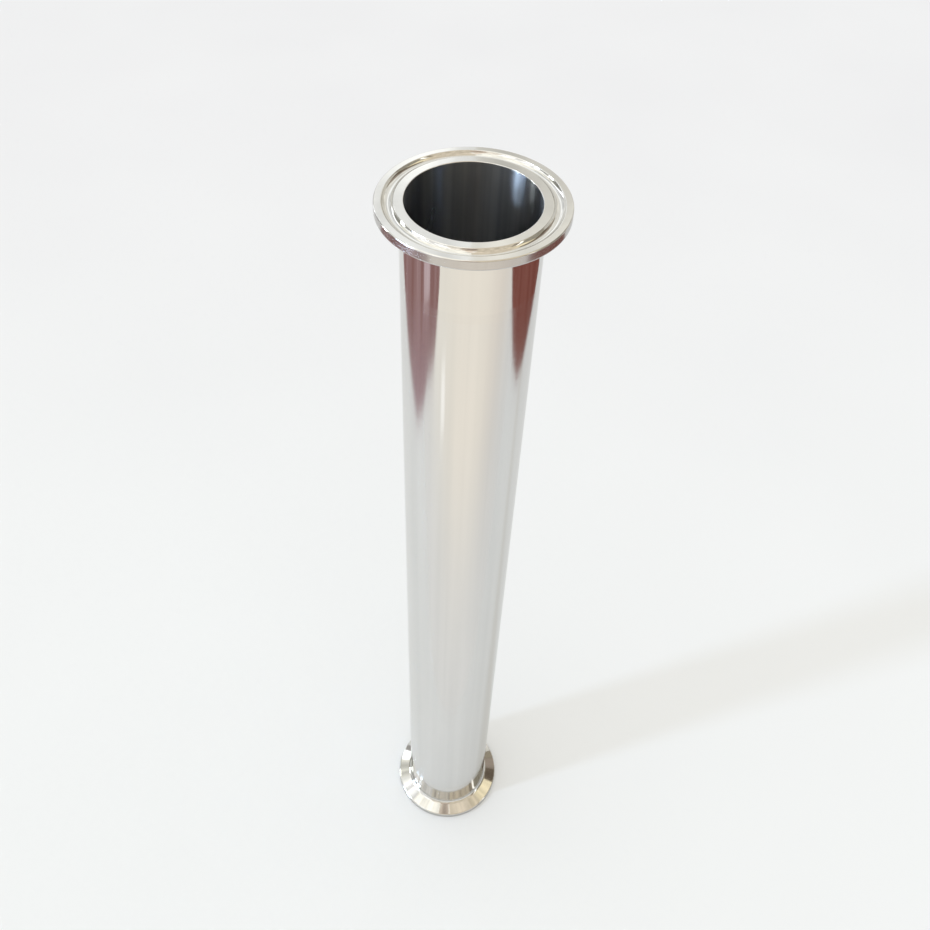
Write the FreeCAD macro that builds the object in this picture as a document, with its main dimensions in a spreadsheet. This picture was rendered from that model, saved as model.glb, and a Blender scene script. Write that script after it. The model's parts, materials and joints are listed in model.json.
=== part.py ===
"""Straight hygienic clamp spool: a polished stainless tube with a clamp ferrule welded to each end.

The spool stands on its lower gasket face. The origin is the centre of that face, +Z runs up the
bore, and all lengths are millimetres. Each piece is a body of its own: two turned ferrules, the
tube between them, and the ring of fused metal at each of the two butt joints, polished flush.
"""
import FreeCAD, Part
import math
import os
import Sketcher

# Driving dimensions: alias, value, what it measures.
SIZES = (
    ("spool_length", 350.0, "lower gasket face to upper gasket face"),
    ("tube_outside", 38.1, "outside diameter of the tube and of the ferrule necks"),
    ("tube_wall", 1.4, "wall of the tube and of the ferrule necks"),
    ("flange_outside", 50.5, "outside diameter of the clamp flange"),
    ("rim_height", 2.85, "gasket face to the corner between the rim and the bevel, before it is rounded"),
    ("bevel_angle", 20.0, "slope of the back of the flange, which the clamp draws on"),
    ("ferrule_length", 21.5, "gasket face to the end of the weld neck"),
    ("weld_width", 3.0, "length of pipe that each girth weld takes up"),
    ("groove_middle", 43.4, "diameter of the gasket groove at its deepest line"),
    ("groove_width", 3.0, "width of the gasket groove at the face"),
    ("groove_depth", 1.0, "depth of the gasket groove"),
    ("face_edge_round", 0.4, "round between the gasket face and the rim"),
    ("bevel_edge_round", 0.8, "round between the rim and the bevel"),
    ("neck_round", 2.0, "hollow round between the bevel and the neck"),
    ("bore_edge_round", 0.2, "round at the mouth of the bore"),
    ("groove_lip_round", 0.3, "round on both lips of the gasket groove"),
)
TUBE_RADIUS = "Sizes.tube_outside / 2"
BORE_RADIUS = "Sizes.tube_outside / 2 - Sizes.tube_wall"
FLANGE_RADIUS = "Sizes.flange_outside / 2"
GROOVE_INSIDE = "(Sizes.groove_middle - Sizes.groove_width) / 2"
GROOVE_OUTSIDE = "(Sizes.groove_middle + Sizes.groove_width) / 2"
GROOVE_RADIUS = (
    "(Sizes.groove_width * Sizes.groove_width / 4 + Sizes.groove_depth * Sizes.groove_depth)"
    " / (2 * Sizes.groove_depth)"
)

# Plain lengths of pipe: label, length, height of the lower end.
PIPE_LENGTHS = (
    ("lower_girth_weld", "Sizes.weld_width", "Sizes.ferrule_length"),
    (
        "tube",
        "Sizes.spool_length - 2 * (Sizes.ferrule_length + Sizes.weld_width)",
        "Sizes.ferrule_length + Sizes.weld_width",
    ),
    (
        "upper_girth_weld",
        "Sizes.weld_width",
        "Sizes.spool_length - Sizes.ferrule_length - Sizes.weld_width",
    ),
)

# Numbers that a sketch gives its horizontal axis, and the start, end and centre of a line or arc.
AXIS = -1
START = 1
END = 2
CENTRE = 3

FULL_TURN = 360.0
HALF_TURN = 180.0
SAME = 1e-4  # lengths closer than this are the same


def make_sheet(doc):
    """The spreadsheet that every size is bound to."""
    sheet = doc.addObject("Spreadsheet::Sheet", "Sizes")
    for row, (alias, value, meaning) in enumerate(SIZES, 1):
        sheet.set(f"A{row}", meaning)
        sheet.set(f"B{row}", str(value))
        sheet.setAlias(f"B{row}", alias)
    doc.recompute()
    return sheet


def new_body(doc, label):
    """An empty body whose label is the name of its piece."""
    body = doc.addObject("PartDesign::Body", label)
    body.Label = label
    return body


def new_sketch(body, name, role):
    """A sketch on one of the origin planes of its own body."""
    plane = next(item for item in body.Origin.OriginFeatures if item.Role == role)
    sketch = body.newObject("Sketcher::SketchObject", name)
    sketch.AttachmentSupport = [(plane, "")]
    sketch.MapMode = "FlatFace"
    return sketch


def constrain(sketch, kind, *where):
    sketch.addConstraint(Sketcher.Constraint(kind, *where))


def dimension(sketch, name, expression, kind, *where):
    """Add a dimension and bind it to the sheet."""
    index = sketch.addConstraint(Sketcher.Constraint(kind, *where))
    sketch.renameConstraint(index, name)
    sketch.setExpression(f"Constraints.{name}", expression)


def ferrule_radii(sheet):
    """Radii of the bore, the neck and the rim."""
    neck = sheet.tube_outside / 2
    return neck - sheet.tube_wall, neck, sheet.flange_outside / 2


def bevel_top(sheet):
    """Height over the gasket face where the bevel would meet the neck without its round."""
    neck, rim = ferrule_radii(sheet)[1:]
    return sheet.rim_height + (rim - neck) * math.tan(math.radians(sheet.bevel_angle))


def draw_ferrule(body, sheet):
    """Half section of the ferrule: across is the radius, up is the height over the gasket face."""
    bore, neck, rim = ferrule_radii(sheet)
    slope = math.radians(HALF_TURN - sheet.bevel_angle)
    corners = (
        (bore, 0),
        (rim, 0),
        (rim, sheet.rim_height),
        (neck, bevel_top(sheet)),
        (neck, sheet.ferrule_length),
        (bore, sheet.ferrule_length),
    )
    places = [FreeCAD.Vector(across, up, 0) for across, up in corners]
    sketch = new_sketch(body, f"{body.Label}_section", "XZ_Plane")
    for here, there in zip(places, places[1:] + places[:1]):
        sketch.addGeometry(Part.LineSegment(here, there))
    face, rim_side, bevel, neck_side, weld_end, bore_side = range(len(places))
    for line in range(len(places)):
        following = (line + 1) % len(places)
        constrain(sketch, "Coincident", line, END, following, START)
    constrain(sketch, "PointOnObject", face, START, AXIS)
    for line in (face, weld_end):
        constrain(sketch, "Horizontal", line)
    for line in (rim_side, neck_side, bore_side):
        constrain(sketch, "Vertical", line)
    for name, expression, line, radius in (
        ("bore_radius", BORE_RADIUS, bore_side, bore),
        ("flange_radius", FLANGE_RADIUS, face, rim),
        ("neck_radius", TUBE_RADIUS, bevel, neck),
    ):
        dimension(sketch, name, expression, "DistanceX", AXIS, START, line, END, radius)
    for name, line, height in (
        ("rim_height", rim_side, sheet.rim_height),
        ("ferrule_length", neck_side, sheet.ferrule_length),
    ):
        dimension(sketch, name, f"Sizes.{name}", "DistanceY", AXIS, START, line, END, height)
    dimension(sketch, "bevel_slope", "180 - Sizes.bevel_angle", "Angle", bevel, slope)
    return sketch


def draw_groove(body, sheet):
    """Section of the gasket groove: an arc from lip to lip, closed along the gasket face."""
    inside = (sheet.groove_middle - sheet.groove_width) / 2
    outside = (sheet.groove_middle + sheet.groove_width) / 2
    half_width = sheet.groove_width / 2
    depth = sheet.groove_depth
    radius = (half_width**2 + depth**2) / (2 * depth)
    centre = FreeCAD.Vector(sheet.groove_middle / 2, depth - radius, 0)
    lip_angle = math.atan2(radius - depth, half_width)
    circle = Part.Circle(centre, FreeCAD.Vector(0, 0, 1), radius)
    sketch = new_sketch(body, f"{body.Label}_groove_section", "XZ_Plane")
    arc = sketch.addGeometry(Part.ArcOfCircle(circle, lip_angle, math.pi - lip_angle))
    lips = Part.LineSegment(FreeCAD.Vector(inside, 0, 0), FreeCAD.Vector(outside, 0, 0))
    mouth = sketch.addGeometry(lips)
    constrain(sketch, "Coincident", arc, END, mouth, START)
    constrain(sketch, "Coincident", mouth, END, arc, START)
    constrain(sketch, "PointOnObject", mouth, START, AXIS)
    constrain(sketch, "Horizontal", mouth)
    for name, expression, end, place in (
        ("inside_radius", GROOVE_INSIDE, START, inside),
        ("outside_radius", GROOVE_OUTSIDE, END, outside),
    ):
        dimension(sketch, name, expression, "DistanceX", AXIS, START, mouth, end, place)
    dimension(sketch, "arc_radius", GROOVE_RADIUS, "Radius", arc, radius)
    return sketch


def turn(body, kind, name, sketch):
    """A full turn of a section about the bore's axis: a Revolution adds, a Groove cuts."""
    feature = body.newObject(f"PartDesign::{kind}", name)
    feature.Profile = sketch
    feature.ReferenceAxis = (sketch, ["V_Axis"])
    feature.Angle = FULL_TURN
    body.Document.recompute()
    return feature


def circular_edges(shape, radius, height):
    """Names of the full-circle edges of one radius at one height over the gasket face."""
    names = []
    for number, edge in enumerate(shape.Edges, 1):
        if not isinstance(edge.Curve, Part.Circle):
            continue
        same_radius = abs(edge.Curve.Radius - radius) < SAME
        same_height = abs(edge.Curve.Center.z - height) < SAME
        if same_radius and same_height:
            names.append(f"Edge{number}")
    return names


def round_edges(body, alias, rings):
    """Round every circular edge in rings, given as (radius, height), by the size in one cell."""
    before = body.Tip
    names = []
    for radius, height in rings:
        names += circular_edges(before.Shape, radius, height)
    if len(names) != len(rings):
        raise RuntimeError(f"{body.Label}: {alias} found {len(names)} edges, not {len(rings)}")
    fillet = body.newObject("PartDesign::Fillet", f"{body.Label}_{alias}")
    fillet.Base = (before, names)
    fillet.setExpression("Radius", f"Sizes.{alias}")
    body.Document.recompute()


def make_ferrule(doc, sheet, label):
    """One ferrule, standing on its gasket face: turned blank, gasket groove, then the rounds."""
    body = new_body(doc, label)
    blank = turn(body, "Revolution", f"{label}_blank", draw_ferrule(body, sheet))
    grooved = turn(body, "Groove", f"{label}_groove", draw_groove(body, sheet))
    if grooved.Shape.Volume >= blank.Shape.Volume:
        raise RuntimeError(f"{label}: the gasket groove cut nothing")
    bore, neck, rim = ferrule_radii(sheet)
    lips = (sheet.groove_middle - sheet.groove_width, sheet.groove_middle + sheet.groove_width)
    round_edges(body, "groove_lip_round", [(lip / 2, 0) for lip in lips])
    round_edges(body, "bore_edge_round", [(bore, 0)])
    round_edges(body, "face_edge_round", [(rim, 0)])
    round_edges(body, "bevel_edge_round", [(rim, sheet.rim_height)])
    round_edges(body, "neck_round", [(neck, bevel_top(sheet))])
    return body


def make_pipe(doc, sheet, label, length, height):
    """A plain length of pipe: the wall between two circles, padded along the bore."""
    body = new_body(doc, label)
    sketch = new_sketch(body, f"{label}_section", "XY_Plane")
    bore, outside = ferrule_radii(sheet)[:2]
    for name, expression, radius in (
        ("outside_radius", TUBE_RADIUS, outside),
        ("bore_radius", BORE_RADIUS, bore),
    ):
        circle = Part.Circle(FreeCAD.Vector(0, 0, 0), FreeCAD.Vector(0, 0, 1), radius)
        ring = sketch.addGeometry(circle)
        constrain(sketch, "Coincident", ring, CENTRE, AXIS, START)
        dimension(sketch, name, expression, "Radius", ring, radius)
    pad = body.newObject("PartDesign::Pad", f"{label}_pad")
    pad.Profile = sketch
    pad.setExpression("Length", length)
    body.setExpression("Placement.Base.z", height)
    doc.recompute()
    return body


def check(doc, bodies):
    """Stop if any feature failed, or if any piece isn't one sound solid."""
    for item in doc.Objects:
        if "Invalid" in item.State or "Error" in item.State:
            raise RuntimeError(f"{item.Label} failed: {item.State}")
    for body in bodies:
        shape = body.Shape
        if shape.isNull() or not shape.isValid() or len(shape.Solids) != 1:
            raise RuntimeError(f"{body.Label} isn't one sound solid")


def main():
    doc = FreeCAD.newDocument("clamp_spool")
    sheet = make_sheet(doc)
    lower = make_ferrule(doc, sheet, "lower_ferrule")
    upper = make_ferrule(doc, sheet, "upper_ferrule")
    turned_over = FreeCAD.Rotation(FreeCAD.Vector(1, 0, 0), HALF_TURN)
    upper.Placement = FreeCAD.Placement(FreeCAD.Vector(0, 0, 0), turned_over)
    upper.setExpression("Placement.Base.z", "Sizes.spool_length")
    pipes = [make_pipe(doc, sheet, *row) for row in PIPE_LENGTHS]
    bodies = [lower, *pipes, upper]
    doc.recompute()
    check(doc, bodies)
    os.makedirs("parts", exist_ok=True)
    for body in bodies:
        body.Shape.exportStep(f"parts/{body.Label}.step")
        box = body.Shape.optimalBoundingBox()
        print(f"{body.Label}: z {box.ZMin:.3f} to {box.ZMax:.3f}, {body.Shape.Volume:.1f} mm3")


main()
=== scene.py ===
"""Looks of the hygienic clamp spool: polished stainless steel standing on a pale floor.

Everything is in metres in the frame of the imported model. The spool stands on its lower gasket
face, its bore runs up +Z, and the camera looks down at it from the -Y side.
"""
import json
import math

import bpy
from mathutils import Matrix, Vector


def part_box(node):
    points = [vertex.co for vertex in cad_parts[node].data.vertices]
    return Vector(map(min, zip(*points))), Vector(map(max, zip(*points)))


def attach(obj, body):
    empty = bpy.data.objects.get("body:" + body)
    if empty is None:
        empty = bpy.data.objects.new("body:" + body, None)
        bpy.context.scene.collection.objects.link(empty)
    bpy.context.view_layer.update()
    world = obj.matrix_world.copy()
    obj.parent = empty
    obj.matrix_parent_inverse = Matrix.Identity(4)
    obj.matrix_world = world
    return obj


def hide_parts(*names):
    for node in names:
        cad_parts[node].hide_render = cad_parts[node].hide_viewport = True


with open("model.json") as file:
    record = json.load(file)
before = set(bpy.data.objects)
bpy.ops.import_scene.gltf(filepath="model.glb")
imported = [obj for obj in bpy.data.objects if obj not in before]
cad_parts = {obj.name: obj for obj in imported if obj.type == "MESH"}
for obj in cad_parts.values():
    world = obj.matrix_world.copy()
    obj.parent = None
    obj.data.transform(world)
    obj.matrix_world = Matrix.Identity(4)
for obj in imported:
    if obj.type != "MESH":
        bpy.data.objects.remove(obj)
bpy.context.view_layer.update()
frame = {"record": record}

MM = 0.001

# Sizes that the frame gives.
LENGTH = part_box("upper_ferrule")[1].z
TUBE_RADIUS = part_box("tube")[1].x
RIM_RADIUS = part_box("lower_ferrule")[1].x
NECK_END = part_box("lower_ferrule")[1].z
MOUNTS = {mount["name"]: mount for mount in frame["record"]["mounts"]}
BORE_RADIUS = MOUNTS["flow_bore"]["dims"]["r_mm"] * MM

# Sizes of the ferrule's section, as turned.
RIM_HEIGHT = 2.85 * MM
BEVEL_SLOPE = math.radians(20)
GROOVE_MIDDLE = 21.7 * MM
GROOVE_HALF_WIDTH = 1.5 * MM
GROOVE_DEPTH = 1.0 * MM
FACE_EDGE_ROUND = 0.4 * MM
BEVEL_EDGE_ROUND = 0.8 * MM
NECK_ROUND = 2.0 * MM
BORE_EDGE_ROUND = 0.2 * MM
GROOVE_LIP_ROUND = 0.3 * MM

# How finely the meshes are made, and how close two points of a section are to count as one.
SEGMENTS = 256
RING_PITCH = 6 * MM
ROUND_STEPS = 6
GROOVE_STEPS = 32
TOUCHING = 0.0001 * MM

# Order of the metals on a mesh, and how far out the normal of a bore's or a rim's side points.
OUTSIDE_METAL, BORE_METAL, RIM_METAL = range(3)
STEEP = 0.9


# ---------------------------------------------------------------- sections and turned meshes


def arc(centre, radius, start, end, steps, hollow=False):
    """Points of an arc in the (radius, height) plane, each with its normal out of the metal."""
    samples = []
    for step in range(steps + 1):
        angle = start + (end - start) * step / steps
        out = Vector((math.cos(angle), math.sin(angle)))
        samples.append((centre + radius * out, -out if hollow else out))
    return samples


def corner(radius, height):
    """A sharp corner: its two straight sides give the normals."""
    return [(Vector((radius, height)), None)]


def straight(here, there, pitch):
    """Points along a straight side, no further apart than pitch, with the side's normal."""
    run = there - here
    normal = Vector((run.y, -run.x)).normalized()
    count = max(1, math.ceil(run.length / pitch))
    return [(here + run * step / count, normal) for step in range(count + 1)]


def outline(parts, pitch):
    """A closed section as short sides, from arcs and corners in anticlockwise order."""
    sides = []
    for part, following in zip(parts, parts[1:] + parts[:1]):
        sides += zip(part, part[1:])
        join = straight(part[-1][0], following[0][0], pitch)
        sides += zip(join, join[1:])
    return sides


def round_between(before, at, after, radius):
    """The arc that rounds a convex or hollow corner between two straight sides."""
    towards, away = (before - at).normalized(), (after - at).normalized()
    half = towards.angle(away) / 2
    centre = at + (towards + away).normalized() * (radius / math.sin(half))
    reach = radius / math.tan(half)
    start, end = (at + towards * reach - centre), (at + away * reach - centre)
    first = math.atan2(start.y, start.x)
    turn = math.atan2(start.x * end.y - start.y * end.x, start.dot(end))
    return arc(centre, radius, first, first + turn, ROUND_STEPS, hollow=turn < 0)


def groove_arcs():
    """Inner lip, floor and outer lip of the gasket groove, all on the face at height 0."""
    radius = (GROOVE_HALF_WIDTH**2 + GROOVE_DEPTH**2) / (2 * GROOVE_DEPTH)
    middle = Vector((GROOVE_MIDDLE, GROOVE_DEPTH - radius))
    lip_height = GROOVE_LIP_ROUND
    lip_reach = math.sqrt((radius + GROOVE_LIP_ROUND) ** 2 - (lip_height - middle.y) ** 2)
    lip_angle = math.atan2(lip_height - middle.y, lip_reach)
    down = -math.pi / 2
    inner_centre = Vector((GROOVE_MIDDLE - lip_reach, lip_height))
    outer_centre = Vector((GROOVE_MIDDLE + lip_reach, lip_height))
    inner = arc(inner_centre, GROOVE_LIP_ROUND, down, -lip_angle, ROUND_STEPS)
    floor = arc(middle, radius, math.pi - lip_angle, lip_angle, GROOVE_STEPS, hollow=True)
    outer = arc(outer_centre, GROOVE_LIP_ROUND, lip_angle - math.pi, down, ROUND_STEPS)
    return inner, floor, outer


def ferrule_section():
    """Ferrule section in (radius, height over the gasket face), anticlockwise."""
    bevel_top = RIM_HEIGHT + (RIM_RADIUS - TUBE_RADIUS) * math.tan(BEVEL_SLOPE)
    bore_mouth = Vector((BORE_RADIUS, 0))
    rim_foot = Vector((RIM_RADIUS, 0))
    rim_top = Vector((RIM_RADIUS, RIM_HEIGHT))
    neck_foot = Vector((TUBE_RADIUS, bevel_top))
    neck_end = Vector((TUBE_RADIUS, NECK_END))
    bore_end = Vector((BORE_RADIUS, NECK_END))
    return outline(
        [
            round_between(bore_end, bore_mouth, rim_foot, BORE_EDGE_ROUND),
            *groove_arcs(),
            round_between(bore_mouth, rim_foot, rim_top, FACE_EDGE_ROUND),
            round_between(rim_foot, rim_top, neck_foot, BEVEL_EDGE_ROUND),
            round_between(rim_top, neck_foot, neck_end, NECK_ROUND),
            corner(*neck_end),
            corner(*bore_end),
        ],
        RING_PITCH,
    )


def pipe_section(low, high):
    """Section of a plain length of pipe between two heights, anticlockwise."""
    return outline(
        [
            corner(BORE_RADIUS, low),
            corner(TUBE_RADIUS, low),
            corner(TUBE_RADIUS, high),
            corner(BORE_RADIUS, high),
        ],
        RING_PITCH,
    )


def ring_number(rings, point):
    """Number of the ring that passes a point of the section, added where there is none yet."""
    for number, known in enumerate(rings):
        if (known - point).length < TOUCHING:
            return number
    rings.append(point)
    return len(rings) - 1


def metal_number(normal, radius):
    """Which of a piece's metals a side gets: bore, rim or the rest."""
    if normal.x < -STEEP and radius < BORE_RADIUS + MM:
        return BORE_METAL
    if normal.x > STEEP and radius > RIM_RADIUS - MM:
        return RIM_METAL
    return OUTSIDE_METAL


def turned_mesh(name, sides, place):
    """A section turned round the Z axis, with exact normals, and its faces' material numbers."""
    around = [math.tau * step / SEGMENTS for step in range(SEGMENTS)]
    turns = [Vector((math.cos(angle), math.sin(angle), 0)) for angle in around]
    rings, faces, normals, metals = [], [], [], []
    for (first, first_normal), (last, last_normal) in sides:
        low = ring_number(rings, first) * SEGMENTS
        high = ring_number(rings, last) * SEGMENTS
        if low == high:
            continue
        flat = straight(first, last, math.inf)[0][1]
        for step in range(SEGMENTS):
            following = (step + 1) % SEGMENTS
            faces.append((low + step, low + following, high + following, high + step))
            metals.append(metal_number(flat, first.x))
            for section_normal, turn in (
                (first_normal or flat, turns[step]),
                (first_normal or flat, turns[following]),
                (last_normal or flat, turns[following]),
                (last_normal or flat, turns[step]),
            ):
                out = section_normal.x * turn + Vector((0, 0, section_normal.y))
                normals.append(place.to_3x3() @ out)
    points = [place @ (ring.x * turn + Vector((0, 0, ring.y))) for ring in rings for turn in turns]
    mesh = bpy.data.meshes.new(name)
    mesh.from_pydata(points, [], faces)
    mesh.polygons.foreach_set("use_smooth", [True] * len(faces))
    mesh.polygons.foreach_set("material_index", metals)
    mesh.normals_split_custom_set(normals)
    return mesh


def add_piece(name, node, sides, place, metals):
    """A finished piece that stands for its plain CAD node."""
    mesh = turned_mesh(name, sides, place)
    for metal in metals:
        mesh.materials.append(metal)
    piece = bpy.data.objects.new(name, mesh)
    bpy.context.scene.collection.objects.link(piece)
    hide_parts(node)
    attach(piece, "root")


# ---------------------------------------------------------------- materials

# Cells per metre of the noises that mark the metal: along X, Y and Z, but along the radius and the
# height for the rings.
STREAK_CELLS = (260, 260, 3)
HAZE_CELLS = (70, 70, 22)
WOBBLE_CELLS = (230, 230, 420)
RING_CELLS = (2600, 2600, 1)

# The part of a noise's range that is spread over a whole new range.
NOISE_LOW = 0.3
NOISE_HIGH = 0.7

# Numbers of the sockets that a mix of two colours uses.
MIX_SHARE, MIX_FIRST, MIX_SECOND = 0, 6, 7
MIX_RESULT = 2

# The turn that draws highlights out along the spool, and the metal's tint at a glancing angle.
QUARTER_TURN = 0.25
EDGE_TINT = (0.90, 0.895, 0.885, 1.0)

# The metals: their two tints, roughness from and to, anisotropy, the share of the streaks in their
# tone, and the depths of their streaks, wobble and rings.
METALS = {
    "polished_tube": dict(
        tints=((0.71, 0.71, 0.70), (0.775, 0.772, 0.762)),
        gloss=(0.085, 0.115),
        anisotropy=0.8,
        streak_share=0.75,
        streak_depth=0.012 * MM,
        wobble_depth=0.006 * MM,
        ring_depth=0.00008 * MM,
    ),
    "turned_ferrule": dict(
        tints=((0.72, 0.715, 0.70), (0.785, 0.78, 0.76)),
        gloss=(0.06, 0.085),
        anisotropy=0.65,
        streak_share=0.4,
        streak_depth=0.006 * MM,
        wobble_depth=0.004 * MM,
        ring_depth=0.00012 * MM,
    ),
    # The rims' rougher finish is their own; their darker tints are painted shade.
    "turned_rim_painted_shade": dict(
        tints=((0.54, 0.525, 0.515), (0.61, 0.595, 0.58)),
        gloss=(0.20, 0.26),
        anisotropy=0.8,
        streak_share=0.5,
        streak_depth=0.010 * MM,
        wobble_depth=0.010 * MM,
        ring_depth=0.0003 * MM,
    ),
    "weld_steel": dict(
        tints=((0.71, 0.705, 0.69), (0.775, 0.77, 0.755)),
        gloss=(0.09, 0.12),
        anisotropy=0.8,
        streak_share=0.5,
        streak_depth=0.010 * MM,
        wobble_depth=0.009 * MM,
        ring_depth=0.0002 * MM,
    ),
    # The bore's dark bluish tints are painted shade for the depth of the bore; its roughness and
    # anisotropy are its own finish.
    "bore_steel_painted_shade": dict(
        tints=((0.205, 0.23, 0.27), (0.475, 0.49, 0.515)),
        gloss=(0.27, 0.31),
        anisotropy=1.0,
        streak_share=0.85,
        streak_depth=0.004 * MM,
        wobble_depth=0.004 * MM,
        ring_depth=0.0005 * MM,
    ),
}


class Nodes:
    """A node tree with short calls for adding and joining nodes."""

    def __init__(self, tree):
        self.tree = tree
        tree.nodes.clear()

    def add(self, kind, inputs=(), **settings):
        """A node whose inputs are numbers, colours or other nodes' outputs."""
        node = self.tree.nodes.new(kind)
        for key, value in settings.items():
            setattr(node, key, value)
        for key, value in dict(inputs).items():
            if isinstance(value, bpy.types.NodeSocket):
                self.tree.links.new(value, node.inputs[key])
            else:
                node.inputs[key].default_value = value
        return node

    def math(self, operation, first, second):
        """The result of a sum, a product or another operation on two numbers."""
        return self.add("ShaderNodeMath", {0: first, 1: second}, operation=operation).outputs[0]

    def scaled(self, vector, scale):
        """A vector times a scale for each axis."""
        inputs = {0: vector, 1: scale}
        return self.add("ShaderNodeVectorMath", inputs, operation="MULTIPLY").outputs[0]

    def noise(self, vector, detail):
        """Soft noise with one cell for each unit of the vector."""
        inputs = {"Vector": vector, "Scale": 1.0, "Detail": detail}
        return self.add("ShaderNodeTexNoise", inputs).outputs["Fac"]

    def spread(self, value, low, high):
        """A noise value laid over the range low to high."""
        source = {"Value": value, "From Min": NOISE_LOW, "From Max": NOISE_HIGH}
        return self.add("ShaderNodeMapRange", {**source, "To Min": low, "To Max": high}).outputs[0]

    def mix(self, share, first, second):
        """A colour between two others, by share."""
        inputs = {MIX_SHARE: share, MIX_FIRST: first, MIX_SECOND: second}
        return self.add("ShaderNodeMix", inputs, data_type="RGBA").outputs[MIX_RESULT]

    def bump(self, height, distance, normal=None):
        """The normal of a surface raised by a height, on top of an earlier normal if there is one."""
        inputs = {"Height": height, "Distance": distance}
        if normal is not None:
            inputs["Normal"] = normal
        return self.add("ShaderNodeBump", inputs).outputs[0]


def colour(red, green, blue):
    """An opaque colour."""
    return (red, green, blue, 1.0)


def steel(name, tints, gloss, anisotropy, streak_share, streak_depth, wobble_depth, ring_depth):
    """Stainless steel finished by polishing round its axis.

    Faint streaks run along the axis and fine rings run round it. Both show as a slight unevenness in
    what the metal reflects, and the streaks and a soft haze vary its tone between the two tints.
    For the bore and the rims the tints are also darkened as painted shade.
    """
    material = bpy.data.materials.new(name)
    material.use_nodes = True
    nodes = Nodes(material.node_tree)
    place = nodes.add("ShaderNodeTexCoord").outputs["Object"]
    split = nodes.add("ShaderNodeSeparateXYZ", {0: place})
    flat = nodes.scaled(place, (1, 1, 0))
    radius = nodes.add("ShaderNodeVectorMath", {0: flat}, operation="LENGTH").outputs["Value"]
    ring_place = nodes.add("ShaderNodeCombineXYZ", {"X": radius, "Y": split.outputs["Z"]}).outputs[0]

    streaks = nodes.noise(nodes.scaled(place, STREAK_CELLS), detail=3)
    haze = nodes.noise(nodes.scaled(place, HAZE_CELLS), detail=4)
    wobble = nodes.noise(nodes.scaled(place, WOBBLE_CELLS), detail=2)
    rings = nodes.noise(nodes.scaled(ring_place, RING_CELLS), detail=2)

    streaked = nodes.math("MULTIPLY", nodes.spread(streaks, 0, 1), streak_share)
    hazed = nodes.math("MULTIPLY", nodes.spread(haze, 0, 1), 1 - streak_share)
    tint = nodes.mix(nodes.math("ADD", streaked, hazed), colour(*tints[0]), colour(*tints[1]))
    normal = nodes.bump(streaks, streak_depth)
    normal = nodes.bump(wobble, wobble_depth, normal)
    normal = nodes.bump(rings, ring_depth, normal)
    tangent = nodes.add("ShaderNodeTangent", direction_type="RADIAL", axis="Z").outputs[0]
    shader = nodes.add(
        "ShaderNodeBsdfPrincipled",
        {
            "Metallic": 1.0,
            "Base Color": tint,
            "Specular Tint": EDGE_TINT,
            "Roughness": nodes.spread(haze, *gloss),
            "Anisotropic": anisotropy,
            "Anisotropic Rotation": QUARTER_TURN,
            "Normal": normal,
            "Tangent": tangent,
        },
    )
    nodes.add("ShaderNodeOutputMaterial", {"Surface": shader.outputs[0]})
    return material


def make_metals():
    """Materials of the tube, the ferrules and their rims, the welds and the inside of the bore. The
    rims' and the bore's darker tints are painted shade.
    """
    return {name: steel(name, **marks) for name, marks in METALS.items()}


# ---------------------------------------------------------------- the spool


def make_spool():
    """The five pieces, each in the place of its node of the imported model."""
    metals = make_metals()
    upright = Matrix.Identity(4)
    turned_over = Matrix.Translation((0, 0, LENGTH)) @ Matrix.Rotation(math.pi, 4, "X")
    for end, place in (("lower", upright), ("upper", turned_over)):
        add_piece(
            f"{end}_ferrule_turned",
            f"{end}_ferrule",
            ferrule_section(),
            place,
            (metals["turned_ferrule"], metals["bore_steel_painted_shade"], metals["turned_rim_painted_shade"]),
        )
    for node, name, slot, metal in (
        ("tube", "tube_polished", "polished_stainless", "polished_tube"),
        ("lower_girth_weld", "lower_weld_bead", "weld_stainless", "weld_steel"),
        ("upper_girth_weld", "upper_weld_bead", "weld_stainless", "weld_steel"),
    ):
        low, high = (limit.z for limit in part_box(node))
        sides = pipe_section(low, high)
        add_piece(name, node, sides, upright, (metals[metal], metals["bore_steel_painted_shade"]))


# ---------------------------------------------------------------- floor, light and surroundings

# The floor's half width, the two tones of its far and near parts, and where along Y one turns to
# the other. The lighter near tones are painted light, brighter towards the camera.
FLOOR_HALF = 12.0
FLOOR_CELLS = (5, 5, 1)
FLOOR_FAR_TONES = (0.830, 0.824, 0.833), (0.850, 0.846, 0.852)
FLOOR_NEAR_LIT_TONES = (0.868, 0.875, 0.871), (0.883, 0.890, 0.886)
FLOOR_FAR = 0.75
FLOOR_NEAR = -0.10
FLOOR_ROUGHNESS = 0.7

# The even light of the sky, and the soft low key light.
SKY = (0.975, 0.97, 0.94)
KEY_DIRECTION = Vector((-0.93, -0.36, 0.92))
KEY_STRENGTH = 0.5
KEY_TONE = (0.62, 0.76, 0.98)
KEY_ANGLE = math.radians(4)

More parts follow.
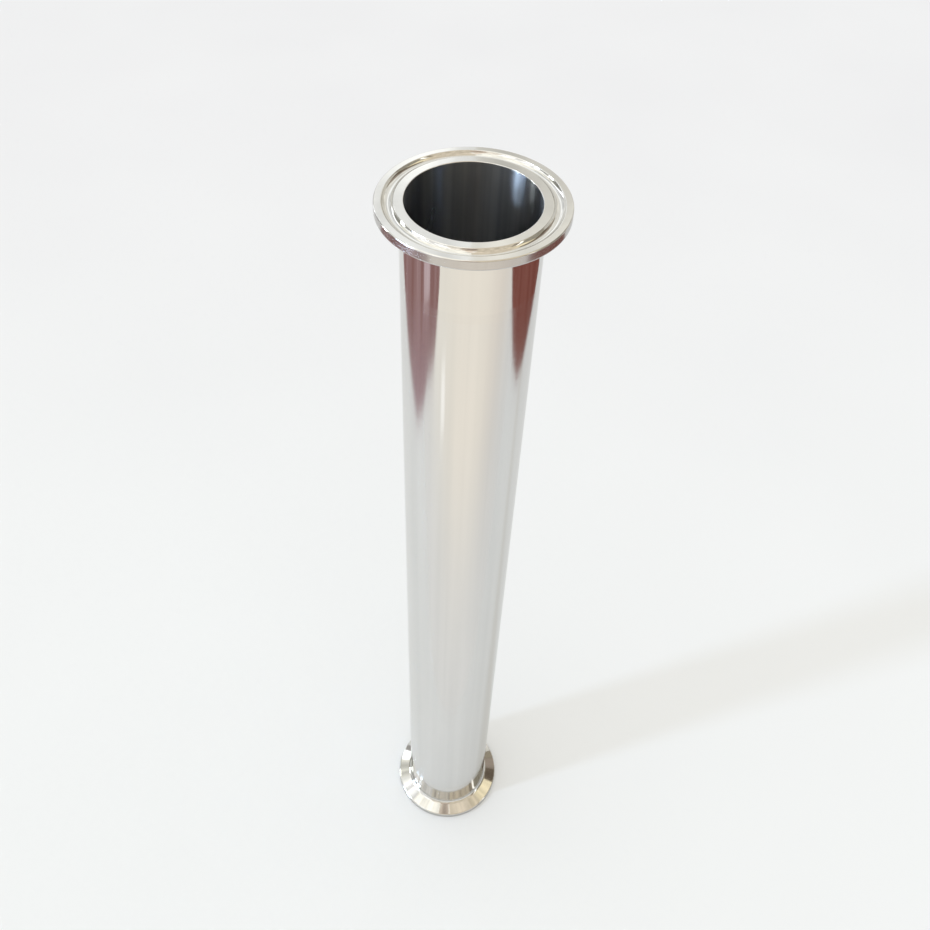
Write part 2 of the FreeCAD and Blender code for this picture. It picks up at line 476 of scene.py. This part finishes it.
# Panels of the room that only the polished metal sees. Bearings are degrees from -Y towards +X,
# then the lowest and highest elevation in degrees, and the brightness of red, green and blue.
ROOM_RADIUS = 3.0
ROOM = (
    ("ceiling_left", -180, -12, 60, 89, (1.24, 1.21, 1.10)),
    ("lamp_strip", -12, 3, 60, 89, (1.06, 0.92, 0.78)),
    ("ceiling_slot", 3, 11, 60, 89, (1.16, 1.09, 0.98)),
    ("ceiling_right", 11, 180, 64, 89, (0.83, 0.73, 0.58)),
    ("head", -14, 8, 36, 60, (0.70, 0.58, 0.47)),
    ("wall_front", -34, 8, 0, 36, (0.80, 0.75, 0.66)),
    ("wall_front_left", -34, -14, 36, 60, (1.10, 1.02, 0.90)),
    ("window_front", -55, -34, 36, 60, (1.46, 1.46, 1.44)),
    ("sill_front", -55, -34, 0, 36, (0.95, 0.94, 0.92)),
    ("window_frame_front", -65, -55, 0, 60, (1.08, 1.06, 1.02)),
    ("window_left", -74, -65, 3, 27, (21.0, 26.0, 32.5)),
    ("window_left_top", -74, -65, 27, 60, (1.40, 1.40, 1.38)),
    ("window_left_bar", -78, -74, 0, 60, (0.95, 0.94, 0.90)),
    ("window_left_second", -84, -78, 3, 27, (11.0, 14.0, 18.5)),
    ("window_second_top", -84, -78, 27, 60, (1.36, 1.36, 1.34)),
    ("curtain_between", -101, -84, 0, 30, (0.40, 0.40, 0.37)),
    ("pelmet_between", -101, -84, 30, 60, (1.26, 1.26, 1.24)),
    ("window_left_third", -108, -101, 3, 27, (13.0, 13.6, 13.4)),
    ("window_third_top", -108, -101, 27, 60, (1.20, 1.20, 1.14)),
    ("curtain_left", -128, -108, 0, 36, (0.30, 0.30, 0.27)),
    ("pelmet_left", -128, -108, 36, 60, (0.98, 0.97, 0.88)),
    ("window_back", -137, -128, 0, 46, (1.8, 1.85, 1.9)),
    ("wall_over_window", -137, -128, 46, 60, (1.12, 1.10, 1.04)),
    ("cupboard_back", -142, -137, 20, 60, (0.36, 0.35, 0.33)),
    ("wall_back_corner", -160, -142, 20, 60, (0.84, 0.85, 0.84)),
    ("wall_back_left", -180, -160, 20, 60, (1.12, 1.13, 1.11)),
    ("skirting_back_left", -180, -137, 0, 20, (0.86, 0.86, 0.85)),
    ("wall_back_right", 140, 180, 27, 64, (0.92, 0.90, 0.83)),
    ("shelf_edge", 133, 140, 27, 64, (0.32, 0.28, 0.21)),
    ("shelf", 122, 133, 27, 64, (0.36, 0.30, 0.245)),
    ("doorway", 108, 122, 27, 64, (0.16, 0.125, 0.09)),
    ("skirting_back_right", 108, 180, 0, 27, (0.68, 0.65, 0.57)),
    ("gilt_wall", 80, 108, 46, 64, (1.08, 0.95, 0.66)),
    ("wall_right", 72, 108, 0, 46, (0.38, 0.35, 0.28)),
    ("lamp_right", 67, 72, 0, 46, (1.90, 1.86, 1.74)),
    ("frame_right", 58, 67, 0, 46, (0.38, 0.33, 0.26)),
    ("wall_light_right", 58, 80, 46, 64, (0.86, 0.75, 0.56)),
    ("wall_front_right", 8, 58, 0, 64, (0.76, 0.67, 0.53)),
)

# Degrees between the points of a panel, and the cells per metre and strength of its patches.
PANEL_STEP = 4
MOTTLE_CELLS = 4
MOTTLE = 0.34

# The phone that takes the picture, as a card across the view, and how far it reaches from the lens.
PHONE_TONES = (0.26, 0.21, 0.17), (0.74, 0.63, 0.52)
PHONE_LEFT = 0.055
PHONE_RIGHT = 0.030
PHONE_UP = 0.025
PHONE_DOWN = 0.120
PHONE_CELLS = 30

# Coloured cloths on the table at both sides, their folds, and a glint. Each has an outline in x
# and y, the two tones of its streaks, and the tone that it turns to towards the spool.
CLOTHS = (
    (
        "cloth_left",
        (
            (-0.345, 0.31),
            (-0.322, 0.19),
            (-0.305, 0.09),
            (-0.286, 0.02),
            (-0.290, -0.06),
            (-0.306, -0.12),
            (-0.292, -0.20),
            (-0.330, -0.30),
            (-0.400, -0.37),
            (-1.2, -0.40),
            (-1.2, 0.32),
        ),
        ((0.285, 0.148, 0.138), (0.395, 0.250, 0.252)),
        (0.42, 0.29, 0.31),
    ),
    (
        "cloth_left_fold",
        ((-0.400, -0.100), (-0.385, -0.183), (-0.674, -0.329), (-0.728, -0.181)),
        ((0.56, 0.42, 0.44), (0.68, 0.54, 0.56)),
        (0.46, 0.34, 0.35),
    ),
    (
        "cloth_left_second_fold",
        ((-0.360, 0.010), (-0.355, -0.045), (-0.720, -0.075), (-0.720, 0.035)),
        ((0.34, 0.21, 0.21), (0.44, 0.29, 0.29)),
        (0.42, 0.29, 0.31),
    ),
    (
        "cloth_right",
        (
            (0.320, 0.33),
            (1.2, 0.36),
            (1.2, -0.40),
            (0.60, -0.30),
            (0.440, -0.20),
            (0.386, -0.10),
            (0.355, -0.04),
            (0.326, 0.05),
            (0.320, 0.12),
            (0.325, 0.20),
        ),
        ((0.205, 0.066, 0.052), (0.265, 0.105, 0.085)),
        (0.245, 0.100, 0.084),
    ),
    (
        "glint",
        ((-0.232, -0.258), (-0.205, -0.283), (-0.158, -0.238), (-0.180, -0.215)),
        ((1.20, 1.18, 1.13), (1.30, 1.28, 1.23)),
        (1.25, 1.23, 1.18),
    ),
)

# Height of the first cloth and from one to the next, streaks per radian, patches per metre, and
# the distances from the spool between which the nearer tone turns to the streaks.
CLOTH_HEIGHT = 0.0008
CLOTH_STEP = 0.0002
CLOTH_STREAKS = 9
CLOTH_PATCHES = 7
CLOTH_NEAR = 0.29
CLOTH_FAR = 0.42

# The near part of the sheet as the metal sees it, painted with light and shade: warm ivory light
# towards the camera, and shade to the right. Its tone to the left, ahead and to the right, between
# bearings from -Y towards +X.
SHEET_NEAR = -1.5
SHEET_FAR = -0.07
SHEET_HALF = 0.60
SHEET_WARM_LIGHT_BY = -0.30
SHEET_PLAIN = (0.90, 0.90, 0.885)
SHEET_LIGHT_AND_SHADE_TONES = (0.985, 0.945, 0.86), (1.055, 0.99, 0.885), (0.93, 0.86, 0.78)
SHEET_LIGHT_BEARINGS = (math.radians(-50), math.radians(-5)), (math.radians(20), math.radians(60))
SHEET_HEIGHT = 0.0004

# A clear film that dims what the metal sees of the sheet, by bearing in the same way: painted shade,
# darkest to the right.
SHADE_FILM_TONES = (1.0, 1.0, 1.0), (0.97, 0.97, 0.97), (0.925, 0.925, 0.925)
SHADE_FILM_BEARINGS = (math.radians(-60), math.radians(0)), (math.radians(15), math.radians(70))
SHADE_FILM_HALF = 0.60
SHADE_FILM_HEIGHT = 0.0006

# The camera, and the tilt of the hand that holds it.
CAMERA_PLACE = Vector((0, -0.203247, 0.482737))
CAMERA_PITCH = math.radians(49.038)
CAMERA_YAW = math.radians(0.335)
CAMERA_ROLL = math.radians(2.911)
CAMERA_LENS = 36.089
CAMERA_SENSOR = 36.0
CAMERA_NEAREST = 0.01


def add_stage(name, points, faces, material):
    """A piece of the surroundings."""
    mesh = bpy.data.meshes.new(name)
    mesh.from_pydata(points, [], faces)
    mesh.materials.append(material)
    thing = bpy.data.objects.new(name, mesh)
    bpy.context.scene.collection.objects.link(thing)
    return thing


def square(half, height):
    """Corners of a level square round the spool."""
    return [(x * half, y * half, height) for x, y in ((-1, -1), (1, -1), (1, 1), (-1, 1))]


def only_in_reflections(thing):
    """Hide a thing from everything but glossy reflections."""
    thing.visible_camera = False
    thing.visible_diffuse = False
    thing.visible_shadow = False
    thing.visible_transmission = False
    thing.visible_volume_scatter = False


def glow(name, tone):
    """A glow; tone makes the nodes of its colour from the place on it."""
    material = bpy.data.materials.new(name)
    material.use_nodes = True
    nodes = Nodes(material.node_tree)
    place = nodes.add("ShaderNodeTexCoord").outputs["Object"]
    shader = nodes.add("ShaderNodeEmission", {"Color": tone(nodes, place), "Strength": 1.0})
    nodes.add("ShaderNodeOutputMaterial", {"Surface": shader.outputs[0]})
    material.cycles.emission_sampling = "NONE"
    return material


def mottled(first, second, cells):
    """Soft patches between two tones, with a number of cells per metre."""

    def tone(nodes, place):
        share = nodes.spread(nodes.noise(nodes.scaled(place, (cells,) * 3), detail=3), 0, 1)
        return nodes.mix(share, colour(*first), colour(*second))

    return tone


def uneven(brightness):
    """Soft patches a little darker and lighter than one brightness."""
    darker = [(1 - MOTTLE) * value for value in brightness]
    lighter = [(1 + MOTTLE) * value for value in brightness]
    return mottled(darker, lighter, MOTTLE_CELLS)


def ramp(nodes, value, start, end):
    """Smooth share from 0 to 1 as a value goes from start to end."""
    limits = {"Value": value, "From Min": start, "From Max": end}
    return nodes.add("ShaderNodeMapRange", limits, interpolation_type="SMOOTHSTEP").outputs[0]


def bearing_of(nodes, place):
    """Bearing of a place from the spool, from -Y towards +X."""
    split = nodes.add("ShaderNodeSeparateXYZ", {0: place})
    ahead = nodes.math("MULTIPLY", split.outputs["Y"], -1)
    return nodes.math("ARCTAN2", split.outputs["X"], ahead)


def folds(first, second, near):
    """Streaks that run straight out from the spool, and a plainer tone close to it."""

    def tone(nodes, place):
        turned = nodes.scaled(bearing_of(nodes, place), (CLOTH_STREAKS, 0, 0))
        patches = nodes.scaled(place, (CLOTH_PATCHES,) * 3)
        spot = nodes.add("ShaderNodeVectorMath", {0: turned, 1: patches}).outputs[0]
        share = nodes.spread(nodes.noise(spot, detail=3), 0, 1)
        streaked = nodes.mix(share, colour(*first), colour(*second))
        away = nodes.add("ShaderNodeVectorMath", {0: place}, operation="LENGTH").outputs["Value"]
        return nodes.mix(ramp(nodes, away, CLOTH_NEAR, CLOTH_FAR), colour(*near), streaked)

    return tone


def by_bearing(nodes, place, tones, bearings):
    """A tone to the left, ahead and to the right of the spool, each turning smoothly to the next."""
    bearing = bearing_of(nodes, place)
    ahead = nodes.mix(ramp(nodes, bearing, *bearings[0]), colour(*tones[0]), colour(*tones[1]))
    return nodes.mix(ramp(nodes, bearing, *bearings[1]), ahead, colour(*tones[2]))


def painted_light_near_sheet(nodes, place):
    """Smooth change from the plain sheet to painted warm light along -Y, with painted shade to the
    right.
    """
    along = nodes.add("ShaderNodeSeparateXYZ", {0: place}).outputs["Y"]
    lit_tone = by_bearing(nodes, place, SHEET_LIGHT_AND_SHADE_TONES, SHEET_LIGHT_BEARINGS)
    return nodes.mix(ramp(nodes, along, SHEET_FAR, SHEET_WARM_LIGHT_BY), colour(*SHEET_PLAIN), lit_tone)


def on_room(bearing, elevation):
    """A point of the room at a bearing and an elevation, both in degrees."""
    across, up = math.radians(bearing), math.radians(elevation)
    flat = ROOM_RADIUS * math.cos(up)
    return (flat * math.sin(across), -flat * math.cos(across), ROOM_RADIUS * math.sin(up))


def make_room():
    """Curved panels standing round the spool."""
    for name, first, last, low, high, brightness in ROOM:
        wide = max(1, math.ceil((last - first) / PANEL_STEP))
        tall = max(1, math.ceil((high - low) / PANEL_STEP))
        points = [
            on_room(first + (last - first) * i / wide, low + (high - low) * j / tall)
            for j in range(tall + 1)
            for i in range(wide + 1)
        ]
        faces = [
            (first_point, first_point + 1, first_point + wide + 2, first_point + wide + 1)
            for first_point in (i + j * (wide + 1) for j in range(tall) for i in range(wide))
        ]
        only_in_reflections(add_stage(name, points, faces, glow(name, uneven(brightness))))


def make_phone(camera):
    """The phone, square to the camera's view, at the camera's own place."""
    corners = (
        (-PHONE_LEFT, -PHONE_DOWN),
        (PHONE_RIGHT, -PHONE_DOWN),
        (PHONE_RIGHT, PHONE_UP),
        (-PHONE_LEFT, PHONE_UP),
    )
    points = [camera.matrix_world @ Vector((across, up, 0)) for across, up in corners]
    material = glow("phone", mottled(*PHONE_TONES, PHONE_CELLS))
    only_in_reflections(add_stage("phone", points, [(0, 1, 2, 3)], material))


def make_table():
    """Flat panels for the coloured cloths and for the near part of the sheet with its painted warm
    light and shade.
    """
    for number, (name, corners, tones, near) in enumerate(CLOTHS):
        height = CLOTH_HEIGHT + CLOTH_STEP * number
        points = [(x, y, height) for x, y in corners]
        faces = [tuple(range(len(points)))]
        only_in_reflections(add_stage(name, points, faces, glow(name, folds(*tones, near))))
    sheet = [
        (-SHEET_HALF, SHEET_NEAR, SHEET_HEIGHT),
        (SHEET_HALF, SHEET_NEAR, SHEET_HEIGHT),
        (SHEET_HALF, SHEET_FAR, SHEET_HEIGHT),
        (-SHEET_HALF, SHEET_FAR, SHEET_HEIGHT),
    ]
    # The near sheet glows with painted warm light and shade, seen only in the metal.
    only_in_reflections(add_stage("sheet_near_painted_light", sheet, [(0, 1, 2, 3)], glow("sheet_near_painted_light", painted_light_near_sheet)))


def make_shade_film():
    """A clear film over the sheet that dims what the metal sees of it: painted shade in the metal's
    reflections.
    """
    material = bpy.data.materials.new("painted_shade_film")
    material.use_nodes = True
    nodes = Nodes(material.node_tree)
    place = nodes.add("ShaderNodeTexCoord").outputs["Object"]
    tone = by_bearing(nodes, place, SHADE_FILM_TONES, SHADE_FILM_BEARINGS)
    shader = nodes.add("ShaderNodeBsdfTransparent", {"Color": tone})
    nodes.add("ShaderNodeOutputMaterial", {"Surface": shader.outputs[0]})
    only_in_reflections(add_stage("painted_shade_film", square(SHADE_FILM_HALF, SHADE_FILM_HEIGHT), [(0, 1, 2, 3)], material))


def make_floor():
    """A plain pale sheet with a very faint unevenness of tone, and painted light that makes it a
    little lighter towards the camera.
    """
    material = bpy.data.materials.new("pale_sheet")
    material.use_nodes = True
    nodes = Nodes(material.node_tree)
    place = nodes.add("ShaderNodeTexCoord").outputs["Object"]
    along = nodes.add("ShaderNodeSeparateXYZ", {0: place}).outputs["Y"]
    cloud = nodes.spread(nodes.noise(nodes.scaled(place, FLOOR_CELLS), detail=2), 0, 1)
    far, near = (
        nodes.mix(cloud, colour(*darker), colour(*lighter))
        for darker, lighter in (FLOOR_FAR_TONES, FLOOR_NEAR_LIT_TONES)
    )
    shader = nodes.add(
        "ShaderNodeBsdfPrincipled",
        {
            "Base Color": nodes.mix(ramp(nodes, along, FLOOR_FAR, FLOOR_NEAR), far, near),
            "Roughness": FLOOR_ROUGHNESS,
            "Specular IOR Level": 0.0,
        },
    )
    nodes.add("ShaderNodeOutputMaterial", {"Surface": shader.outputs[0]})
    add_stage("floor", square(FLOOR_HALF, 0), [(0, 1, 2, 3)], material)


def make_light():
    """An even pale sky, and a soft low key from the left front."""
    world = bpy.data.worlds.new("studio")
    bpy.context.scene.world = world
    world.use_nodes = True
    nodes = Nodes(world.node_tree)
    background = nodes.add("ShaderNodeBackground", {"Color": colour(*SKY), "Strength": 1.0})
    nodes.add("ShaderNodeOutputWorld", {"Surface": background.outputs[0]})
    world.cycles.sampling_method = "NONE"
    key = bpy.data.lights.new("key", "SUN")
    key.energy = KEY_STRENGTH
    key.color = KEY_TONE
    key.angle = KEY_ANGLE
    lamp = bpy.data.objects.new("key", key)
    lamp.rotation_mode = "QUATERNION"
    lamp.rotation_quaternion = KEY_DIRECTION.to_track_quat("Z", "Y")
    lamp.visible_glossy = False
    bpy.context.scene.collection.objects.link(lamp)


def make_camera():
    """The camera, held by hand above and in front of the spool, tilted a little to one side."""
    ahead = Vector(
        (
            math.sin(CAMERA_YAW) * math.cos(CAMERA_PITCH),
            math.cos(CAMERA_YAW) * math.cos(CAMERA_PITCH),
            -math.sin(CAMERA_PITCH),
        )
    )
    level = Vector((math.cos(CAMERA_YAW), -math.sin(CAMERA_YAW), 0))
    top = level.cross(ahead)
    right = math.cos(CAMERA_ROLL) * level + math.sin(CAMERA_ROLL) * top
    up = math.cos(CAMERA_ROLL) * top - math.sin(CAMERA_ROLL) * level
    data = bpy.data.cameras.new("camera")
    data.sensor_width = CAMERA_SENSOR
    data.lens = CAMERA_LENS
    data.clip_start = CAMERA_NEAREST
    camera = bpy.data.objects.new("camera", data)
    turn = Matrix((right, up, -ahead)).transposed().to_4x4()
    camera.matrix_world = Matrix.Translation(CAMERA_PLACE) @ turn
    bpy.context.scene.collection.objects.link(camera)
    bpy.context.scene.camera = camera
    return camera


make_spool()
make_floor()
make_room()
make_table()
make_shade_film()
make_phone(make_camera())
make_light()
bpy.context.scene.view_settings.view_transform = "Standard"
